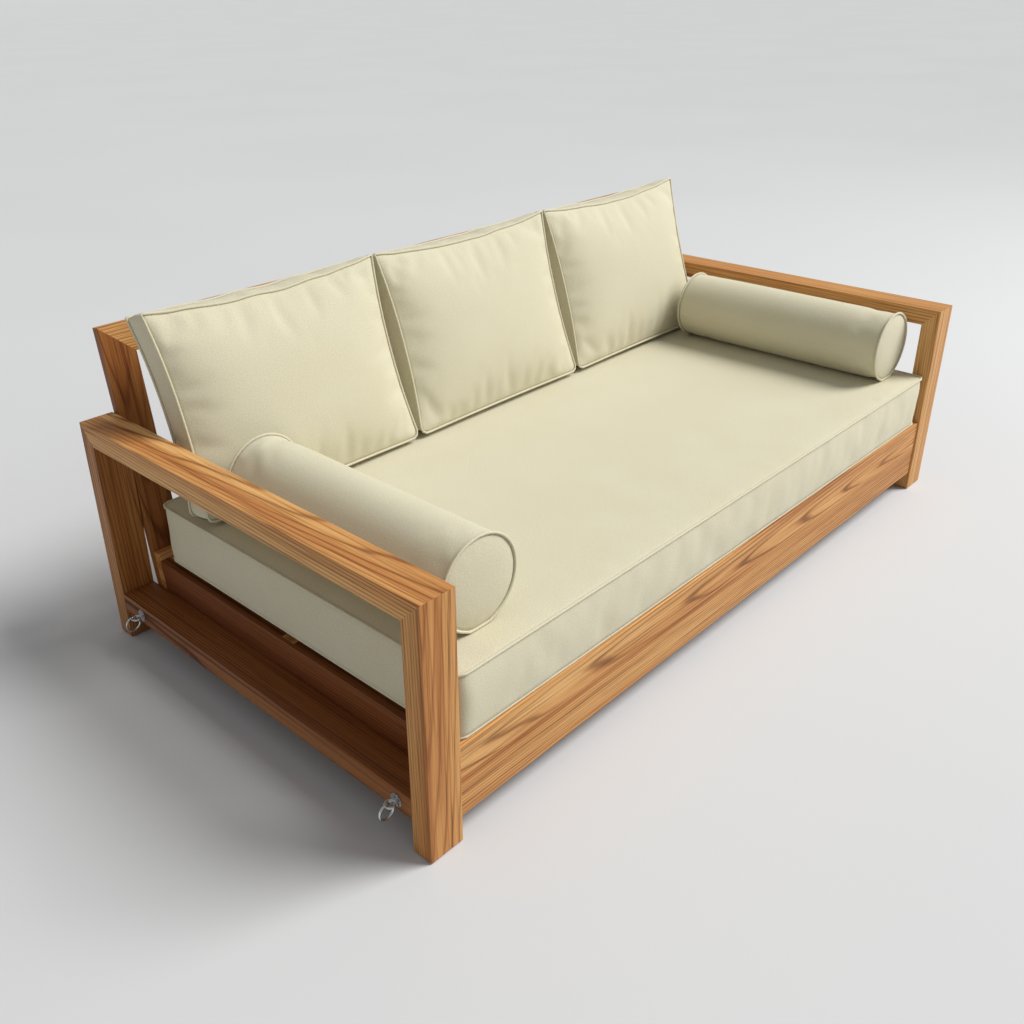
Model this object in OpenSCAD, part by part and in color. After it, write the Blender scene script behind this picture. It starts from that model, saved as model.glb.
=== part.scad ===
// Daybed: two open loop arms, a reclined slatted back frame and a slatted seat box in solid teak,
// with a boxed mattress, three back cushions, two bolsters and four eye bolts that carry loose rings.
// Millimetres. X runs along the length, the front faces -Y and Z is up.
// The origin is on the floor, at the centre of the box round the whole piece.

/* [Overall] */
// Length over the two arms
overall_len = 2180; // [1800:10:2640]
// Depth of an arm, from its front face to its rear face
arm_depth = 1144; // [950:2:1380]
// Height of the arms above the floor
arm_height = 580; // [480:5:700]
// Height of the back frame's front top edge
back_height = 783; // [650:1:940]

/* [Arms] */
// Width of the arm stock along the length
arm_stock_w = 85; // [68:1:102]
// Thickness of the arm stock
arm_stock_t = 50; // [40:1:60]
// Height of the underside of the arms' bottom rail
arm_rail_z = 81; // [66:1:98]
// Depth of the bottom rail's tenon in a post
tenon_len = 25; // [15:1:35]
// Diameter of the dowels in the mitred corners
dowel_d = 10; // [8:1:12]
// Length of the dowels in the mitred corners
dowel_len = 36; // [28:1:40]
// Distance between the two dowels of a corner
dowel_spacing = 40; // [28:1:48]

/* [Seat box] */
// Thickness of the seat box boards
board_t = 27; // [20:1:34]
// Height of the lower boards
lower_board_h = 95; // [78:1:114]
// Height of the upper boards
upper_board_h = 75; // [62:1:90]
// Height of the seat box's underside above the floor
seat_underside_z = 57; // [47:1:69]
// Step from the arm's front face back to the front boards
board_setback = 5; // [3:1:10]
// Height of the cleats that carry the slats
cleat_h = 40; // [30:1:50]
// Depth of the cleats that carry the slats
cleat_t = 25; // [20:1:32]
// Width of the centre beam
beam_w = 45; // [35:1:60]
// Number of seat slats
slat_count = 13; // [13:1:13]
// Width of a seat slat
slat_w = 75; // [60:1:90]
// Thickness of a seat slat
slat_t = 18; // [14:1:22]
// Space between an arm and the first slat
slat_end_gap = 60; // [40:1:80]

/* [Back frame] */
// Lean of the back frame from upright, in degrees
back_lean = 8; // [5:0.5:12]
// Distance that the back frame's top stands behind the arms
back_overhang = 27; // [20:1:40]
// Thickness of the back frame boards
back_t = 22; // [18:1:28]
// Width of the back frame's stiles
back_stile_w = 83; // [66:1:100]
// Height of the back frame's top and bottom rails
back_rail_h = 72; // [60:1:87]
// Distance up the back from the floor to its bottom rail
back_bottom_rail_start = 190; // [160:1:220]
// Number of back slats
back_slat_count = 8; // [8:1:8]
// Width of a back slat
back_slat_w = 70; // [58:1:84]
// Thickness of a back slat
back_slat_t = 14; // [10:1:16]
// Depth of a back slat's mortise in a rail
back_slat_tenon = 12; // [8:1:20]

/* [Soft goods] */
// Height of the mattress
mattress_h = 152; // [125:1:185]
// Space between the mattress and the rear boards
mattress_rear_gap = 37; // [10:1:70]
// Height of a back cushion between its two seams
cushion_h = 490; // [405:1:590]
// Thickness of a back cushion at its boxing
cushion_t = 70; // [58:1:84]
// Bulge of a back cushion's front face
cushion_front_crown = 42; // [30:1:50]
// Bulge of a back cushion's rear face
cushion_rear_crown = 85; // [60:1:100]
// Rise of a back cushion's boxing towards its lower rear seam
cushion_foot_rise = 12; // [0:1:18]
// Lean of the back cushions from upright, in degrees
cushion_lean = 18; // [14:0.5:20]
// Distance from the mattress's rear edge to the cushions' lower rear seam
cushion_stand_off = 132; // [110:1:180]
// Radius of a bolster
bolster_r = 101; // [84:0.5:120]
// Distance from the mattress front to the front end of a bolster
bolster_setback = 77; // [60:1:92]

/* [Eye bolts and rings] */
// Distance from a front post back to the front eye bolts
eye_front_inset = 40; // [30:1:60]
// Diameter of an eye bolt's shank
eye_shank_d = 10; // [8:1:12]
// Wire diameter of the eye
eye_wire_d = 6; // [5:0.5:7]
// Inner diameter of the eye
eye_inner_d = 15; // [15:0.5:20]
// Diameter of the eye bolt's base plate
eye_plate_d = 31; // [26:1:36]
// Thickness of the eye bolt's base plate
eye_plate_t = 2.5; // [2:0.5:4]
// Outer diameter of a ring
ring_d = 40; // [38:1:46]
// Wire diameter of a ring
ring_wire_d = 5; // [4:0.5:5.5]

/* [Fasteners and feet] */
// Diameter of a foot glide
glide_d = 30; // [24:1:36]
// Thickness of a foot glide below the post
glide_t = 2; // [1:0.5:4]
// Diameter of a slat screw's shank
slat_screw_d = 4.5; // [4:0.5:5]
// Length of a slat screw
slat_screw_len = 42; // [36:1:44]
// Diameter of a back frame screw's shank
back_screw_d = 5; // [4:0.5:6]
// Length of a back frame screw
back_screw_len = 42; // [34:1:44]
// Diameter of a side rail lag screw
lag_d = 8; // [6:1:10]
// Length of a side rail lag screw under its head
lag_len = 72; // [60:1:80]

/* [Clearances] */
// Clearance round tenons, dowels and screws in their holes
joint_gap = 0.3; // [0.2:0.05:0.5]
// Clearance between the soft goods and what they rest on
soft_gap = 0.5; // [0.3:0.1:1]
// Clearance between the mattress and each arm
mattress_end_gap = 5; // [2:0.5:10]
// Clearance between two back cushions
cushion_gap = 4; // [2:0.5:8]
// Clearance between the row of back cushions and each arm
cushion_end_gap = 11; // [6:1:20]
// Clearance between the left bolster and the left arm
bolster_left_gap = 47; // [4:1:60]
// Clearance between the right bolster and the right arm
bolster_right_gap = 5; // [4:1:60]
// Clearance between a bolster's rear end and the back cushions' lower front seam
bolster_rear_gap = 41; // [20:1:60]
// Clearance between the back frame and an arm
back_side_gap = 2; // [1:0.5:4]
// Clearance between the rear eye bolts' washers and the rear lower board
washer_gap = 3.1; // [1:0.1:8]
// Clearance between the two rear boards along their seam
board_seam_gap = 0.05; // [0.02:0.01:0.3]
// Clearance between a ring's wire and its eye's wire
ring_gap = 0.3; // [0.3:0.05:0.5]

/* [Hidden] */
$fn = 48;

teak = "peru";
steel = "silver";
fabric = "cornsilk";
rubber = "dimgray";
left = -1;
right = 1;
cut = 1; // how far a cut runs past the face that it opens

// Planes of the frame
total_depth = arm_depth + back_overhang;
front_y = -total_depth / 2;
arm_rear_y = front_y + arm_depth;
front_post_inner_y = front_y + arm_stock_t;
rear_post_inner_y = arm_rear_y - arm_stock_t;
outer_x = overall_len / 2;
inner_x = outer_x - arm_stock_w;
arm_x = outer_x - arm_stock_w / 2;
rail_top_z = arm_rail_z + arm_stock_t;
rail_mid_z = arm_rail_z + arm_stock_t / 2;
post_foot_z = glide_t;

// Seat box
lower_top_z = seat_underside_z + lower_board_h;
seat_top_z = lower_top_z + upper_board_h;
slat_under_z = seat_top_z - slat_t;
board_front_y = front_y + board_setback;
board_back_y = board_front_y + board_t;

// Back frame: its own plane starts at the floor, y' points back and z' runs up the lean
back_top_up = back_height / cos(back_lean);
back_foot_y = front_y + total_depth - back_t * cos(back_lean) - back_height * tan(back_lean);
stile_outer_x = inner_x - back_side_gap;
stile_inner_x = stile_outer_x - back_stile_w;
rear_board_top_up = (seat_top_z - board_t * sin(back_lean)) / cos(back_lean);
rear_board_seam_up = rear_board_top_up - upper_board_h;
rear_board_foot_up = rear_board_seam_up - lower_board_h;
back_bottom_rail_top = back_bottom_rail_start + back_rail_h;
back_top_rail_start = back_top_up - back_rail_h;
back_slat_gap = (2 * stile_inner_x - back_slat_count * back_slat_w) / (back_slat_count + 1);
back_slat_inset = (back_t - back_slat_t) / 2;

// Where the rear boards' front face stands at height z
function rear_board_y(z) = back_foot_y - board_t / cos(back_lean) + z * tan(back_lean);

beam_y = (board_back_y + rear_board_y(slat_under_z)) / 2;
beam_end_x = inner_x - board_t / 3;
cleat_end_x = inner_x - board_t - joint_gap;
slat_front_y = board_back_y + joint_gap;
slat_back_y = rear_board_y(slat_under_z) - joint_gap;
slat_pitch = (2 * inner_x - 2 * slat_end_gap - slat_w) / (slat_count - 1);
function slat_x(i) = -inner_x + slat_end_gap + slat_w / 2 + i * slat_pitch;
slat_screw_ys = [board_back_y + cleat_t / 2, beam_y, rear_board_y(slat_under_z) - cleat_t / 2];

// Soft goods
mattress_z = seat_top_z + soft_gap;
mattress_top_z = mattress_z + mattress_h;
mattress_end_x = inner_x - mattress_end_gap;
mattress_front_y = board_front_y + 2;
mattress_rear_y = rear_board_y(seat_top_z) - mattress_rear_gap;
cushion_w = (2 * (inner_x - cushion_end_gap - cushion_gap)) / 3;
cushion_pitch = cushion_w + cushion_gap;
cushion_front_y = mattress_rear_y - cushion_stand_off - cushion_t * cos(cushion_lean)
    - cushion_foot_rise * sin(cushion_lean);
cushion_front_z = mattress_top_z + soft_gap + cushion_t * sin(cushion_lean)
    - cushion_foot_rise * cos(cushion_lean);
bolster_front_y = mattress_front_y + bolster_setback;
bolster_len = cushion_front_y - bolster_rear_gap - bolster_front_y;
bolster_z = mattress_top_z + soft_gap + bolster_r;

// Eye bolts: distances run out from the arm's outer face
eye_mid_r = (eye_inner_d + eye_wire_d) / 2;
eye_centre_out = eye_plate_t + eye_mid_r + eye_wire_d / 2 + 0.5;
ring_axis_out = eye_centre_out + eye_mid_r;
ring_mid_r = (ring_d - ring_wire_d) / 2;
ring_drop = ring_mid_r - (eye_wire_d + ring_wire_d) / 2 - ring_gap;
nut_t = 8;
nut_flats = 17;
washer_t = 2;
washer_d = 24;
eye_rear_y = rear_board_y(rail_mid_z - washer_d / 2) - washer_d / 2 - washer_gap;
eye_ys = [front_post_inner_y + eye_front_inset, eye_rear_y];
bolt_end_out = -(arm_stock_w + board_t + washer_t + nut_t + 3);

// Screws
screw_head_r = 4.5;
screw_head_h = 3;
back_screw_head_r = 5;
lag_head_t = 5.5;
lag_head_flats = 13;
lag_washer_d = 18;
lag_washer_t = 1.6;
lag_ys = [for (s = [0.25, 0.5, 0.75]) eye_ys[0] + s * (eye_ys[1] - eye_ys[0])];

// ---------- Shared shapes ----------

// Board between two opposite corners
module board(low, high) {
    translate(low) cube(high - low);
}

// Moves to the back frame's own plane
module back_plane() {
    translate([0, back_foot_y, 0]) rotate([-back_lean, 0, 0]) children();
}

// Outline in the Y-Z plane, extruded between two X values
module along_x(x0, x1) {
    translate([x0, 0, 0]) rotate([90, 0, 90]) linear_extrude(x1 - x0) children();
}

// Outline in the back frame's own X-Z' plane, extruded through the thickness y0 to y1
module through_back(y0, y1) {
    back_plane() translate([0, y1, 0]) rotate([90, 0, 0]) linear_extrude(y1 - y0) children();
}

// Cylinder along X between two X values
module x_rod(r, x0, x1) {
    translate([x0, 0, 0]) rotate([0, 90, 0]) cylinder(r = r, h = x1 - x0);
}

// ---------- Arms ----------

// The two dowels of a mitred top corner; toward is +1 at the front corner and -1 at the rear
module corner_dowels(side, corner_y, toward, r, len) {
    for (k = [-0.5, 0.5])
        translate([side * arm_x + k * dowel_spacing, corner_y + toward * arm_stock_t / 2,
            arm_height - arm_stock_t / 2])
            rotate([-toward * 45, 0, 0]) cylinder(r = r, h = len, center = true);
}

module all_corner_dowels(side, r, len) {
    corner_dowels(side, front_y, 1, r, len);
    corner_dowels(side, arm_rear_y, -1, r, len);
}

// Tenons at both ends of a bottom rail, or with a gap their mortises
module rail_tenons(side, gap) {
    half_w = arm_stock_w / 4 + gap;
    half_h = arm_stock_t / 4 + gap;
    board([side * arm_x - half_w, front_post_inner_y - tenon_len - gap, rail_mid_z - half_h],
        [side * arm_x + half_w, rear_post_inner_y + tenon_len + gap, rail_mid_z + half_h]);
}

// Post with its mitred top; outer_y is its outer face and toward points to the arm's middle
module arm_post(side, outer_y, toward) {
    inner_y = outer_y + toward * arm_stock_t;
    color(teak)
    difference() {
        along_x(side * arm_x - arm_stock_w / 2, side * arm_x + arm_stock_w / 2)
            polygon([[outer_y, post_foot_z], [inner_y, post_foot_z],
                [inner_y, arm_height - arm_stock_t], [outer_y, arm_height]]);
        rail_tenons(side, joint_gap);
        all_corner_dowels(side, dowel_d / 2 + joint_gap, dowel_len + 2 * joint_gap);
    }
}

module arm_top_rail(side) {
    color(teak)
    difference() {
        along_x(side * arm_x - arm_stock_w / 2, side * arm_x + arm_stock_w / 2)
            polygon([[front_y, arm_height], [front_post_inner_y, arm_height - arm_stock_t],
                [rear_post_inner_y, arm_height - arm_stock_t], [arm_rear_y, arm_height]]);
        all_corner_dowels(side, dowel_d / 2 + joint_gap, dowel_len + 2 * joint_gap);
    }
}

module arm_bottom_rail(side) {
    color(teak)
    difference() {
        union() {
            board([side * arm_x - arm_stock_w / 2, front_post_inner_y, arm_rail_z],
                [side * arm_x + arm_stock_w / 2, rear_post_inner_y, rail_top_z]);
            rail_tenons(side, 0);
        }
        eye_bolt_holes(side);
        lag_holes(side);
    }
}

module left_arm_front_post() { arm_post(left, front_y, 1); }
module left_arm_rear_post() { arm_post(left, arm_rear_y, -1); }
module left_arm_top_rail() { arm_top_rail(left); }
module left_arm_bottom_rail() { arm_bottom_rail(left); }
module right_arm_front_post() { arm_post(right, front_y, 1); }
module right_arm_rear_post() { arm_post(right, arm_rear_y, -1); }
module right_arm_top_rail() { arm_top_rail(right); }
module right_arm_bottom_rail() { arm_bottom_rail(right); }

module mitre_dowels() {
    color("burlywood")
    for (side = [left, right])
        all_corner_dowels(side, dowel_d / 2, dowel_len);
}

// ---------- Seat box ----------

module front_lower_board() {
    color(teak)
    board([-inner_x, board_front_y, seat_underside_z], [inner_x, board_back_y, lower_top_z]);
}

module front_upper_board() {
    color(teak)
    board([-inner_x, board_front_y, lower_top_z], [inner_x, board_back_y, seat_top_z]);
}

// The rear boards lie flat against the reclined back frame
module rear_lower_board() {
    color(teak)
    difference() {
        back_plane() board([-stile_outer_x, -board_t, rear_board_foot_up],
            [stile_outer_x, 0, rear_board_seam_up]);
        back_screw_shapes(joint_gap);
    }
}

module rear_upper_board() {
    color(teak)
    difference() {
        back_plane() board([-stile_outer_x, -board_t, rear_board_seam_up + board_seam_gap],
            [stile_outer_x, 0, rear_board_top_up]);
        back_screw_shapes(joint_gap);
    }
}

// Outline of a rail that runs from the front boards to the rear boards, up to top_z
module rail_outline(top_z) {
    polygon([[board_back_y, seat_underside_z + 2], [rear_board_y(seat_underside_z + 2), seat_underside_z + 2],
        [rear_board_y(top_z), top_z], [board_back_y, top_z]]);
}

module side_rail(side) {
    mid_x = side * (inner_x - board_t / 2);
    color(teak)
    difference() {
        along_x(mid_x - board_t / 2, mid_x + board_t / 2) rail_outline(slat_under_z);
        // housing that an end of the centre beam drops into
        board([-beam_end_x - joint_gap, beam_y - beam_w / 2 - joint_gap, lower_top_z],
            [beam_end_x + joint_gap, beam_y + beam_w / 2 + joint_gap, slat_under_z + cut]);
        eye_bolt_holes(side);
        lag_holes(side);
    }
}

module left_side_rail() { side_rail(left); }
module right_side_rail() { side_rail(right); }

module cross_rail() {
    color(teak) along_x(-board_t / 2, board_t / 2) rail_outline(lower_top_z);
}

// The beam rests on the cross rail and in the side rails' housings
module centre_beam() {
    color(teak)
    difference() {
        board([-beam_end_x, beam_y - beam_w / 2, lower_top_z],
            [beam_end_x, beam_y + beam_w / 2, slat_under_z]);
        slat_screw_shapes(joint_gap);
    }
}

module front_cleat() {
    color(teak)
    difference() {
        board([-cleat_end_x, board_back_y, slat_under_z - cleat_h],
            [cleat_end_x, board_back_y + cleat_t, slat_under_z]);
        slat_screw_shapes(joint_gap);
    }
}

module rear_cleat() {
    color(teak)
    difference() {
        along_x(-cleat_end_x, cleat_end_x)
            polygon([[rear_board_y(slat_under_z) - cleat_t, slat_under_z - cleat_h],
                [rear_board_y(slat_under_z - cleat_h), slat_under_z - cleat_h],
                [rear_board_y(slat_under_z), slat_under_z],
                [rear_board_y(slat_under_z) - cleat_t, slat_under_z]]);
        slat_screw_shapes(joint_gap);
    }
}

module seat_slat(number) {
    x = slat_x(number - 1);
    color(teak)
    difference() {
        board([x - slat_w / 2, slat_front_y, slat_under_z], [x + slat_w / 2, slat_back_y, seat_top_z]);
        slat_screw_shapes(joint_gap);
    }
}

// Countersunk screws that hold the slats to the cleats and the beam
module slat_screw_shapes(gap) {
    for (i = [0 : slat_count - 1], y = slat_screw_ys)
        translate([slat_x(i), y, 0]) {
            translate([0, 0, seat_top_z - slat_screw_len - gap])
                cylinder(r = slat_screw_d / 2 + gap, h = slat_screw_len - screw_head_h + gap);
            translate([0, 0, seat_top_z - screw_head_h - gap])
                cylinder(r = screw_head_r + gap, h = screw_head_h + gap - 0.5 + (gap > 0 ? cut : 0));
        }
}

module slat_screws() {
    color(steel) slat_screw_shapes(0);
}

// ---------- Back frame ----------

module back_stile(side) {
    outer = side * stile_outer_x;
    inner = side * stile_inner_x;
    color(teak)
    difference() {
        through_back(0, back_t)
            polygon([[outer, rear_board_foot_up], [inner, rear_board_foot_up],
                [inner, back_top_rail_start], [outer, back_top_up]]);
        back_screw_shapes(joint_gap);
    }
}

module back_left_stile() { back_stile(left); }
module back_right_stile() { back_stile(right); }

// Slats that run from the bottom rail to the top rail, or with a gap their mortises
module back_slat_shape(number, gap) {
    x = -stile_inner_x + back_slat_gap + (number - 1) * (back_slat_w + back_slat_gap);
    back_plane() board([x - gap, back_slat_inset - gap, back_bottom_rail_top - back_slat_tenon - gap],
        [x + back_slat_w + gap, back_slat_inset + back_slat_t + gap,
            back_top_rail_start + back_slat_tenon + gap]);
}

module back_top_rail() {
    color(teak)
    difference() {
        through_back(0, back_t)
            polygon([[-stile_inner_x, back_top_rail_start], [stile_inner_x, back_top_rail_start],
                [stile_outer_x, back_top_up], [-stile_outer_x, back_top_up]]);
        for (number = [1 : back_slat_count]) back_slat_shape(number, joint_gap);
    }
}

module back_bottom_rail() {
    color(teak)
    difference() {
        back_plane() board([-stile_inner_x, 0, back_bottom_rail_start],
            [stile_inner_x, back_t, back_bottom_rail_top]);
        for (number = [1 : back_slat_count]) back_slat_shape(number, joint_gap);
        back_screw_shapes(joint_gap);
    }
}

module back_slat(number) {
    color(teak) back_slat_shape(number, 0);
}

// Screws driven from behind: two in each rear board at each stile, and four along the bottom rail
module back_screw_shapes(gap) {
    stile_x = (stile_outer_x + stile_inner_x) / 2;
    lower_mid = (rear_board_foot_up + rear_board_seam_up) / 2;
    upper_mid = (rear_board_seam_up + back_bottom_rail_start) / 2;
    overlap_mid = (back_bottom_rail_start + rear_board_top_up) / 2;
    for (side = [left, right]) {
        for (k = [-0.25, 0.25])
            back_screw(side * stile_x + k * back_stile_w, lower_mid, gap);
        for (k = [-0.25, 0.25])
            back_screw(side * stile_x + k * back_stile_w, upper_mid, gap);
    }
    for (k = [-1.5, -0.5, 0.5, 1.5])
        back_screw(k * stile_inner_x / 2, overlap_mid, gap);
}

module back_screw(x, up, gap) {
    back_plane() translate([x, back_t - 0.5, up]) rotate([90, 0, 0]) {
        translate([0, 0, gap > 0 ? -cut : 0])
            cylinder(r = back_screw_head_r + gap, h = screw_head_h + gap + (gap > 0 ? cut : 0));
        cylinder(r = back_screw_d / 2 + gap, h = back_screw_len + gap);
    }
}

module back_screws() {
    color(steel) back_screw_shapes(0);
}

// ---------- Soft goods ----------

module mattress() {
    color(fabric)
    board([-mattress_end_x, mattress_front_y, mattress_z], [mattress_end_x, mattress_rear_y, mattress_top_z]);
}

// Crowned boxed cushion that leans back on its lower rear seam
module back_cushion(place) {
    mid_x = place * cushion_pitch;
    color(fabric)
    translate([mid_x - cushion_w / 2, cushion_front_y, cushion_front_z])
        rotate([-cushion_lean, 0, 0])
            rotate([90, 0, 90]) linear_extrude(cushion_w)
                polygon([[0, 0], [-cushion_front_crown, cushion_h * 0.35],
                    [-cushion_front_crown, cushion_h * 0.65], [0, cushion_h], [cushion_t, cushion_h],
                    [cushion_t + cushion_rear_crown, cushion_h * 0.65],
                    [cushion_t + cushion_rear_crown, cushion_h * 0.4], [cushion_t, cushion_foot_rise]]);
}

module back_cushion_left() { back_cushion(-1); }
module back_cushion_middle() { back_cushion(0); }
module back_cushion_right() { back_cushion(1); }

module bolster(side, gap) {
    color(fabric)
    translate([side * (inner_x - gap - bolster_r), bolster_front_y, bolster_z])
        rotate([-90, 0, 0]) cylinder(r = bolster_r, h = bolster_len);
}

module bolster_left() { bolster(left, bolster_left_gap); }
module bolster_right() { bolster(right, bolster_right_gap); }

// ---------- Eye bolts and rings ----------

// Moves to an arm's outer face at an eye bolt, with +X pointing out of the arm
module at_eye(side, y) {
    translate([side * outer_x, y, rail_mid_z]) rotate([0, 0, side == right ? 0 : 180]) children();
}

module eye_bolt_holes(side) {
    for (y = eye_ys)
        at_eye(side, y) x_rod(eye_shank_d / 2 + joint_gap, -arm_stock_w - board_t - cut, cut);
}

module eye_bolt() {
    x_rod(eye_shank_d / 2, bolt_end_out, eye_plate_t);
    x_rod(eye_plate_d / 2, 0, eye_plate_t);
    x_rod(eye_wire_d / 2, 0, eye_centre_out - eye_mid_r);
    translate([eye_centre_out, 0, 0])
        rotate_extrude() translate([eye_mid_r, 0]) circle(r = eye_wire_d / 2, $fn = 32);
}

module eye_bolts() {
    color(steel)
    for (side = [left, right], y = eye_ys)
        at_eye(side, y) eye_bolt();
}

// Washer and hexagonal nut on the inner face of a side rail
module eye_bolt_nut() {
    inner_face = -arm_stock_w - board_t;
    nut_r = nut_flats / 2 / cos(30);
    difference() {
        union() {
            x_rod(washer_d / 2, inner_face - washer_t, inner_face);
            translate([inner_face - washer_t - nut_t, 0, 0]) rotate([0, 90, 0])
                cylinder(r = nut_r, h = nut_t, $fn = 6);
        }
        x_rod(eye_shank_d / 2 + joint_gap, inner_face - washer_t - nut_t - cut, inner_face + cut);
    }
}

module eye_bolt_nuts() {
    color(steel)
    for (side = [left, right], y = eye_ys)
        at_eye(side, y) eye_bolt_nut();
}

// Ring that hangs from the outer wire of its eye, in a plane across the arm
module ring(side, y) {
    color(steel)
    at_eye(side, y)
        translate([ring_axis_out, 0, -ring_drop]) rotate([90, 0, 0])
            rotate_extrude() translate([ring_mid_r, 0]) circle(r = ring_wire_d / 2, $fn = 32);
}

module ring_front_left() { ring(left, eye_ys[0]); }
module ring_rear_left() { ring(left, eye_ys[1]); }
module ring_front_right() { ring(right, eye_ys[0]); }
module ring_rear_right() { ring(right, eye_ys[1]); }

// ---------- Small parts ----------

module foot_glides() {
    color(rubber)
    for (side = [left, right], y = [front_y + arm_stock_t / 2, arm_rear_y - arm_stock_t / 2])
        translate([side * arm_x, y, 0]) cylinder(r = glide_d / 2, h = glide_t);
}

module lag_holes(side) {
    for (y = lag_ys)
        at_eye(side, y) x_rod(lag_d / 2 + joint_gap, -arm_stock_w - board_t - cut,
            lag_len - arm_stock_w - board_t + joint_gap);
}

// Hexagonal lag screw and washer, driven from inside the seat box into the arm's bottom rail
module lag_screw() {
    inner_face = -arm_stock_w - board_t;
    x_rod(lag_washer_d / 2, inner_face - lag_washer_t, inner_face);
    x_rod(lag_d / 2, inner_face - lag_washer_t, inner_face - lag_washer_t + lag_len);
    translate([inner_face - lag_washer_t - lag_head_t, 0, 0]) rotate([0, 90, 0])
        cylinder(r = lag_head_flats / 2 / cos(30), h = lag_head_t, $fn = 6);
}

module side_rail_screws() {
    color(steel)
    for (side = [left, right], y = lag_ys)
        at_eye(side, y) lag_screw();
}

// ---------- Assembly ----------

left_arm_front_post();
left_arm_rear_post();
left_arm_top_rail();
left_arm_bottom_rail();
right_arm_front_post();
right_arm_rear_post();
right_arm_top_rail();
right_arm_bottom_rail();
front_lower_board();
front_upper_board();
rear_lower_board();
rear_upper_board();
left_side_rail();
right_side_rail();
cross_rail();
centre_beam();
front_cleat();
rear_cleat();
for (number = [1 : slat_count])
    seat_slat(number);
back_left_stile();
back_right_stile();
back_top_rail();
back_bottom_rail();
for (number = [1 : back_slat_count])
    back_slat(number);
mattress();
back_cushion_left();
back_cushion_middle();
back_cushion_right();
bolster_left();
bolster_right();
eye_bolts();
eye_bolt_nuts();
ring_front_left();
ring_rear_left();
ring_front_right();
ring_rear_right();
foot_glides();
mitre_dowels();
slat_screws();
back_screws();
side_rail_screws();
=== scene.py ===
# %% [markdown]
# # A teak daybed with loose cushions
# The daybed has two open loop arms, a reclined slatted back and a slatted seat box, all in oiled
# teak. A boxed mattress, three back cushions and two bolsters lie on it. The rigid parts arrive as
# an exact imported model, so this lesson keeps their places and gives them eased edges, grain and
# metal. The soft goods are made here, because cloth only looks right when it has been blown up
# and pulled by its seams.

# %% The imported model
import math
import random

import bmesh
import bpy
from mathutils import Matrix, Vector, noise


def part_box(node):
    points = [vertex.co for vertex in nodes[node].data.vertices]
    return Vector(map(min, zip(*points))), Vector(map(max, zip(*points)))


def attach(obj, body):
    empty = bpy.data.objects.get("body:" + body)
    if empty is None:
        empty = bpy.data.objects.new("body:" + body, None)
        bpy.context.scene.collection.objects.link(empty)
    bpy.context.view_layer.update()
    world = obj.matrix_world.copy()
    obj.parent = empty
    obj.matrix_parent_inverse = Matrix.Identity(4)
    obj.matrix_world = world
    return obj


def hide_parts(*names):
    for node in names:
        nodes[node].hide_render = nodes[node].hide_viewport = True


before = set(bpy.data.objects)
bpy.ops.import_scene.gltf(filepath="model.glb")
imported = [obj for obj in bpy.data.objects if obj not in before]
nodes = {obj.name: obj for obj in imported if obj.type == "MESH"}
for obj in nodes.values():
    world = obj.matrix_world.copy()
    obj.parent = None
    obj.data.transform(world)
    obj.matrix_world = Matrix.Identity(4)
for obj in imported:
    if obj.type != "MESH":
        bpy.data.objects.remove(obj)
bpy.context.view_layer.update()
MM = 0.001
scene = bpy.context.scene
print("packed nodes:", len(nodes))

# %% [markdown]
# ## Helpers for every finish
# Hex colours are what a screen shows, and a shader wants linear light, so one function turns one
# into the other. Another adds a shader node with its settings and its links, which keeps each
# material below to a short list of what it is made of. The last two put a mesh in the scene.

# %% Colours, nodes and objects
def linear(hex_colour):
    parts = [int(hex_colour[i:i + 2], 16) / 255 for i in (1, 3, 5)]
    return [c / 12.92 if c <= 0.04045 else ((c + 0.055) / 1.055) ** 2.4 for c in parts] + [1.0]


def add_node(tree, kind, settings=None, inputs=None):
    """Adds a node. An input is a value, or the socket of another node to link from."""
    node = tree.nodes.new(kind)
    for name, value in (settings or {}).items():
        setattr(node, name, value)
    for key, value in (inputs or {}).items():
        if isinstance(value, bpy.types.NodeSocket):
            tree.links.new(value, node.inputs[key])
        else:
            node.inputs[key].default_value = value
    return node


def blend_colours(tree, how, amount, first, second):
    mix = add_node(tree, "ShaderNodeMix", {"data_type": "RGBA", "blend_type": how},
                   {0: amount, 6: first, 7: second})
    return mix.outputs[2]


def set_stops(ramp, stops):
    """Gives a colour ramp its stops, as (place, hex colour)."""
    elements = ramp.color_ramp.elements
    while len(elements) < len(stops):
        elements.new(1.0)
    for element, (place, colour) in zip(elements, stops):
        element.position = place
        element.color = linear(colour)
    return ramp.outputs[0]


def new_material(name):
    material = bpy.data.materials.new(name)
    material.use_nodes = True
    tree = material.node_tree
    return material, tree, tree.nodes["Principled BSDF"]


def give(obj, material):
    obj.data.materials.clear()
    obj.data.materials.append(material)


def new_object(data):
    obj = bpy.data.objects.new(data.name, data)
    scene.collection.objects.link(obj)
    return obj


def mesh_object(bm, name):
    """Turns finished bmesh work into an object, and frees it."""
    mesh = bpy.data.meshes.new(name)
    bm.to_mesh(mesh)
    bm.free()
    return new_object(mesh)


# %% [markdown]
# ## Oiled teak
# A board shows its tree's growth rings where they are cut: straight lines where the cut is near
# the tree's middle, nested arches where it runs along the side of a ring. So the rings are drawn
# as long cylinders round a pith that lies a little askew under each board, and each piece of wood
# carries its own place in the tree in an attribute called grain, in metres along, across and
# through the board. Dark pores are short dashes along the grain.

# %% Teak material
RING_SPACING = 7 * MM
WAVES_PER_SCALE = 2 * math.pi / 20          # a wave texture repeats at this length at a scale of 1

teak, tree, shader = new_material("teak_sawn_and_oiled")
grain = add_node(tree, "ShaderNodeAttribute", {"attribute_name": "grain"}).outputs["Vector"]
tone_and_painted_shade = add_node(tree, "ShaderNodeAttribute", {"attribute_name": "tone_and_painted_shade"}).outputs["Fac"]
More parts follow.
